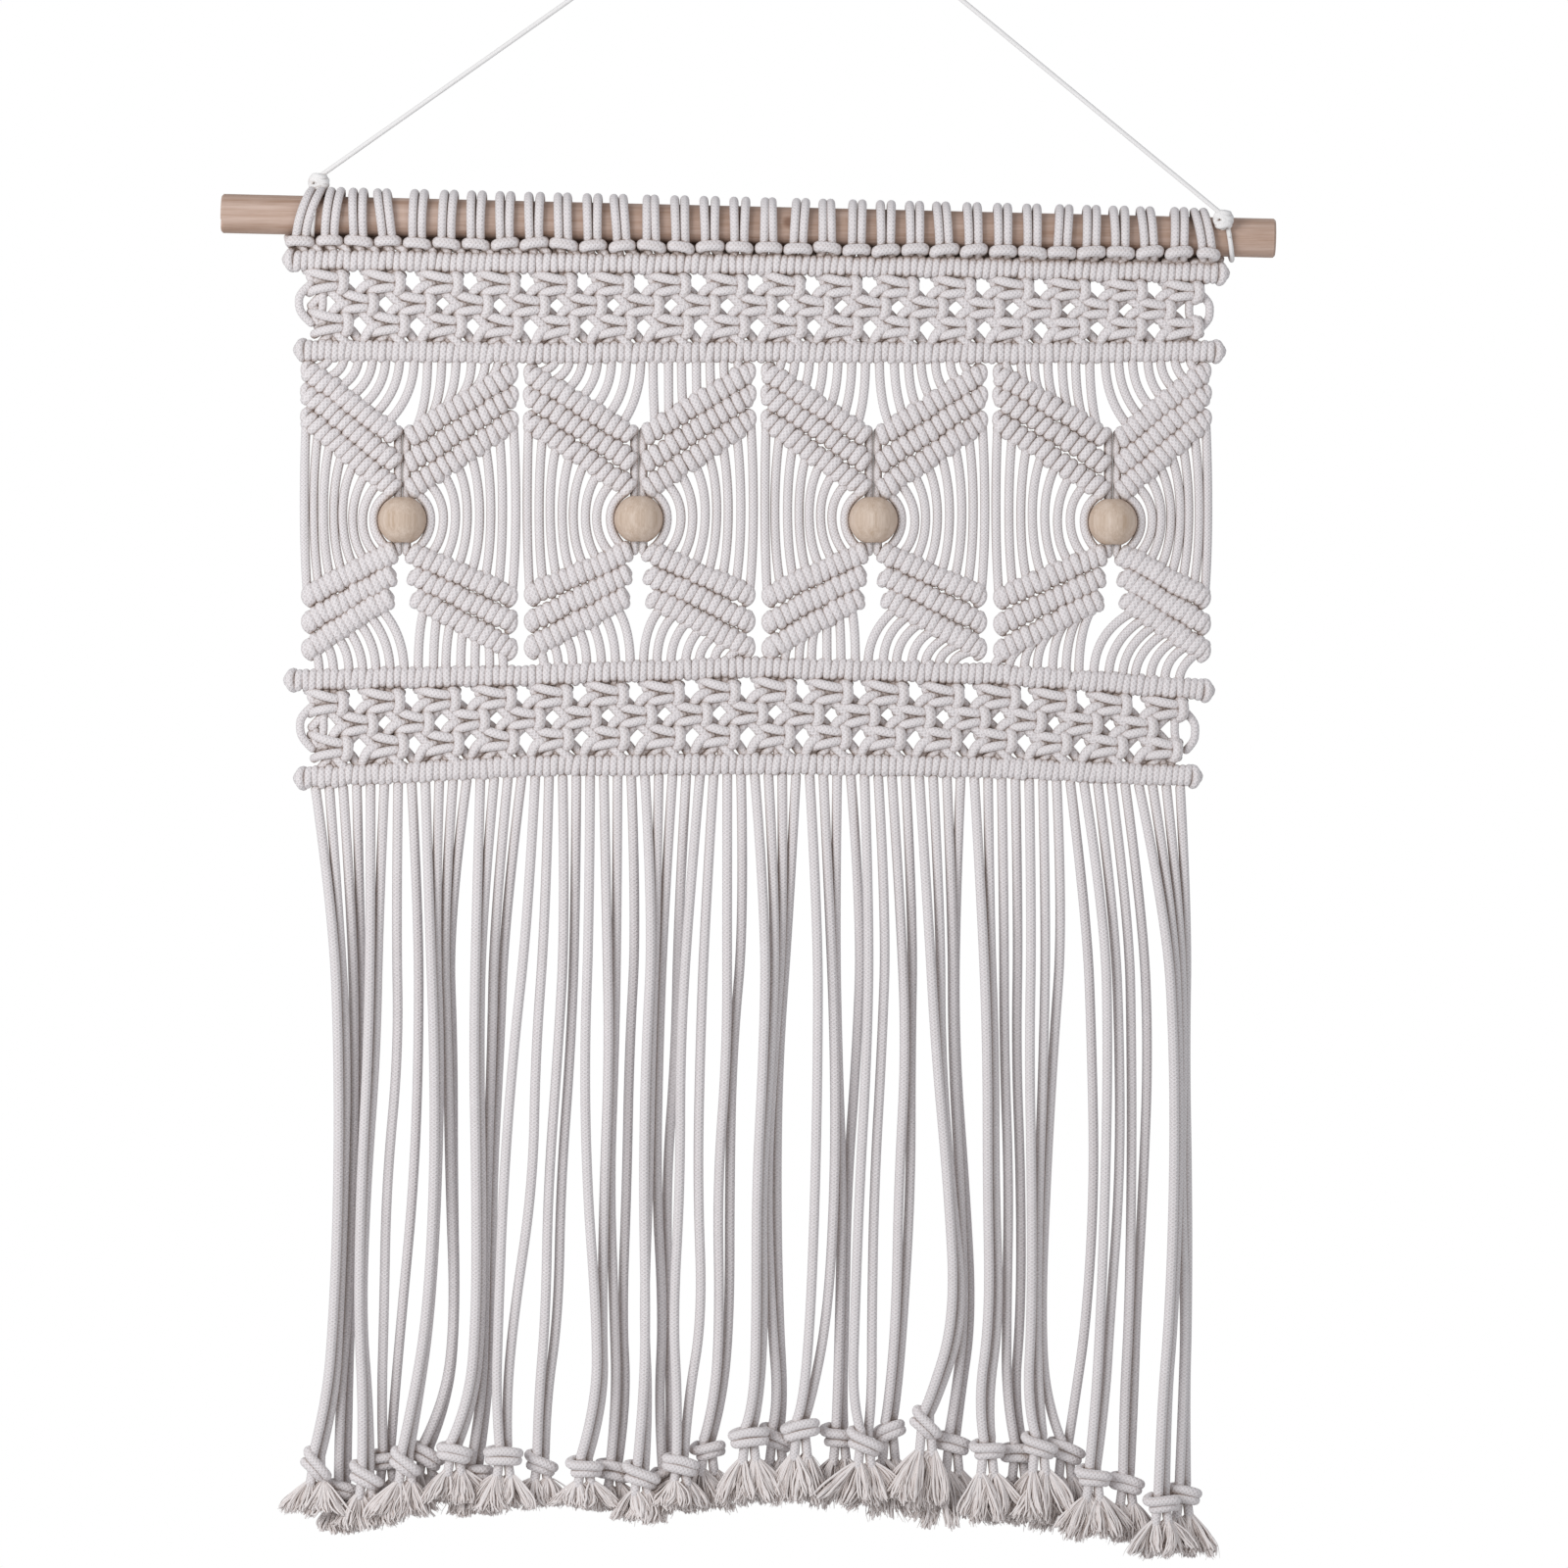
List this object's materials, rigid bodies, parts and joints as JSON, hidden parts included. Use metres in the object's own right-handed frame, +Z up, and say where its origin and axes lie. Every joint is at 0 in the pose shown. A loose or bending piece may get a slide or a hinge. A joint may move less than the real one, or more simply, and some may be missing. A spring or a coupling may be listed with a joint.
{
  "type": "knotted cord wall hanging",
  "caption": "Macrame tapestry of knotted cotton cord on a wooden dowel, with beaded leaf motifs, a long tied fringe and a hanging cord.",
  "frame": {"origin": "the point where the hanging cord bears on its hook, the underside of the cord at its apex", "axes": "+X to the viewer's right along the dowel, +Y back to the wall, +Z up; the front faces -Y"},
  "size_m": [0.4302, 0.0252, 0.697],
  "materials": {
    "cotton_cord": "smooth fine-braided off-white cotton cord",
    "hanger_cord": "thin twisted white cotton cord",
    "frayed_ends": "combed out silky cotton fibre",
    "dowel_wood": "sanded, unvarnished pinkish tan wood",
    "bead_wood": "sanded pale beech"
  },
  "bodies": {
    "hanger": {"hanger_cord": "hanger_cord", "hanger_knot_left": "hanger_cord", "hanger_knot_right": "hanger_cord"},
    "dowel": {"dowel": "dowel_wood"},
    "panel": {"bead_cords_1": "cotton_cord", "bead_cords_2": "cotton_cord", "bead_cords_3": "cotton_cord", "bead_cords_4": "cotton_cord", "carrier_cord_1": "cotton_cord", "carrier_cord_2": "cotton_cord", "carrier_cord_3": "cotton_cord", "carrier_cord_4": "cotton_cord", "half_hitch_row_1": "cotton_cord", "half_hitch_row_2": "cotton_cord", "half_hitch_row_3": "cotton_cord", "half_hitch_row_4": "cotton_cord", "larks_head_knots": "cotton_cord", "leaf_1_lower": "cotton_cord", "leaf_1_upper": "cotton_cord", "leaf_2_lower": "cotton_cord", "leaf_2_upper": "cotton_cord", "leaf_3_lower": "cotton_cord", "leaf_3_upper": "cotton_cord", "leaf_4_lower": "cotton_cord", "leaf_4_upper": "cotton_cord", "lower_net_knots_1": "cotton_cord", "lower_net_knots_2": "cotton_cord", "lower_net_knots_3": "cotton_cord", "lower_net_selvedges": "cotton_cord", "strands_lower_fan": "cotton_cord", "strands_middle_fan": "cotton_cord", "strands_upper_fan": "cotton_cord", "upper_net_knots_1": "cotton_cord", "upper_net_knots_2": "cotton_cord", "upper_net_knots_3": "cotton_cord", "upper_net_selvedges": "cotton_cord"},
    "bead_1": {"bead_1": "bead_wood"},
    "bead_2": {"bead_2": "bead_wood"},
    "bead_3": {"bead_3": "bead_wood"},
    "bead_4": {"bead_4": "bead_wood"},
    "fringe_1": {"fringe_1_strands": "cotton_cord", "fringe_1_ends": "frayed_ends"},
    "fringe_2": {"fringe_2_strands": "cotton_cord", "fringe_2_ends": "frayed_ends"},
    "fringe_3": {"fringe_3_strands": "cotton_cord", "fringe_3_ends": "frayed_ends"},
    "fringe_4": {"fringe_4_strands": "cotton_cord", "fringe_4_ends": "frayed_ends"},
    "fringe_5": {"fringe_5_strands": "cotton_cord", "fringe_5_ends": "frayed_ends"},
    "fringe_6": {"fringe_6_strands": "cotton_cord", "fringe_6_ends": "frayed_ends"},
    "fringe_7": {"fringe_7_strands": "cotton_cord", "fringe_7_ends": "frayed_ends"},
    "fringe_8": {"fringe_8_strands": "cotton_cord", "fringe_8_ends": "frayed_ends"}
  },
  "joints": [
    {"name": "dowel_roll", "type": "hinge", "parent": "hanger", "child": "dowel", "pos_m": [-0.0133, 0, -0.151], "axis": [-0.9997, 0, 0.0236], "continuous": true},
    {"name": "panel_swing", "type": "hinge", "parent": "hanger", "child": "panel", "pos_m": [-0.0133, 0, -0.151], "axis": [-0.9997, 0, 0.0236], "range_deg": [0, 45]},
    {"name": "bead_1_spin", "type": "hinge", "parent": "panel", "child": "bead_1", "pos_m": [-0.1544, -0.0035, -0.2712], "axis": [0, 0, 1], "continuous": true},
    {"name": "bead_2_spin", "type": "hinge", "parent": "panel", "child": "bead_2", "pos_m": [-0.058, -0.0035, -0.2708], "axis": [0, 0, 1], "continuous": true},
    {"name": "bead_3_spin", "type": "hinge", "parent": "panel", "child": "bead_3", "pos_m": [0.0376, -0.0035, -0.2712], "axis": [0, 0, 1], "continuous": true},
    {"name": "bead_4_spin", "type": "hinge", "parent": "panel", "child": "bead_4", "pos_m": [0.1352, -0.0035, -0.272], "axis": [0, 0, 1], "continuous": true},
    {"name": "fringe_1_swing", "type": "hinge", "parent": "panel", "child": "fringe_1", "pos_m": [-0.15894, -0.0035, -0.37436], "axis": [-0.9985, 0, -0.0539], "range_deg": [-35, 35]},
    {"name": "fringe_2_swing", "type": "hinge", "parent": "panel", "child": "fringe_2", "pos_m": [-0.10859, -0.0035, -0.37188], "axis": [-0.9993, 0, -0.0366], "range_deg": [-35, 35]},
    {"name": "fringe_3_swing", "type": "hinge", "parent": "panel", "child": "fringe_3", "pos_m": [-0.08622, -0.0035, -0.37128], "axis": [-0.9999, 0, -0.0114], "range_deg": [-35, 35]},
    {"name": "fringe_4_swing", "type": "hinge", "parent": "panel", "child": "fringe_4", "pos_m": [-0.04706, -0.0035, -0.37083], "axis": [-0.9999, 0, -0.0114], "range_deg": [-35, 35]},
    {"name": "fringe_5_swing", "type": "hinge", "parent": "panel", "child": "fringe_5", "pos_m": [0.02006, -0.0035, -0.37092], "axis": [-0.9999, 0, 0.0163], "range_deg": [-35, 35]},
    {"name": "fringe_6_swing", "type": "hinge", "parent": "panel", "child": "fringe_6", "pos_m": [0.09278, -0.0035, -0.37272], "axis": [-0.9994, 0, 0.0332], "range_deg": [-35, 35]},
    {"name": "fringe_7_swing", "type": "hinge", "parent": "panel", "child": "fringe_7", "pos_m": [0.13753, -0.0035, -0.37429], "axis": [-0.999, 0, 0.0438], "range_deg": [-35, 35]},
    {"name": "fringe_8_swing", "type": "hinge", "parent": "panel", "child": "fringe_8", "pos_m": [0.15431, -0.0035, -0.37503], "axis": [-0.999, 0, 0.0438], "range_deg": [-35, 35]}
  ]
}
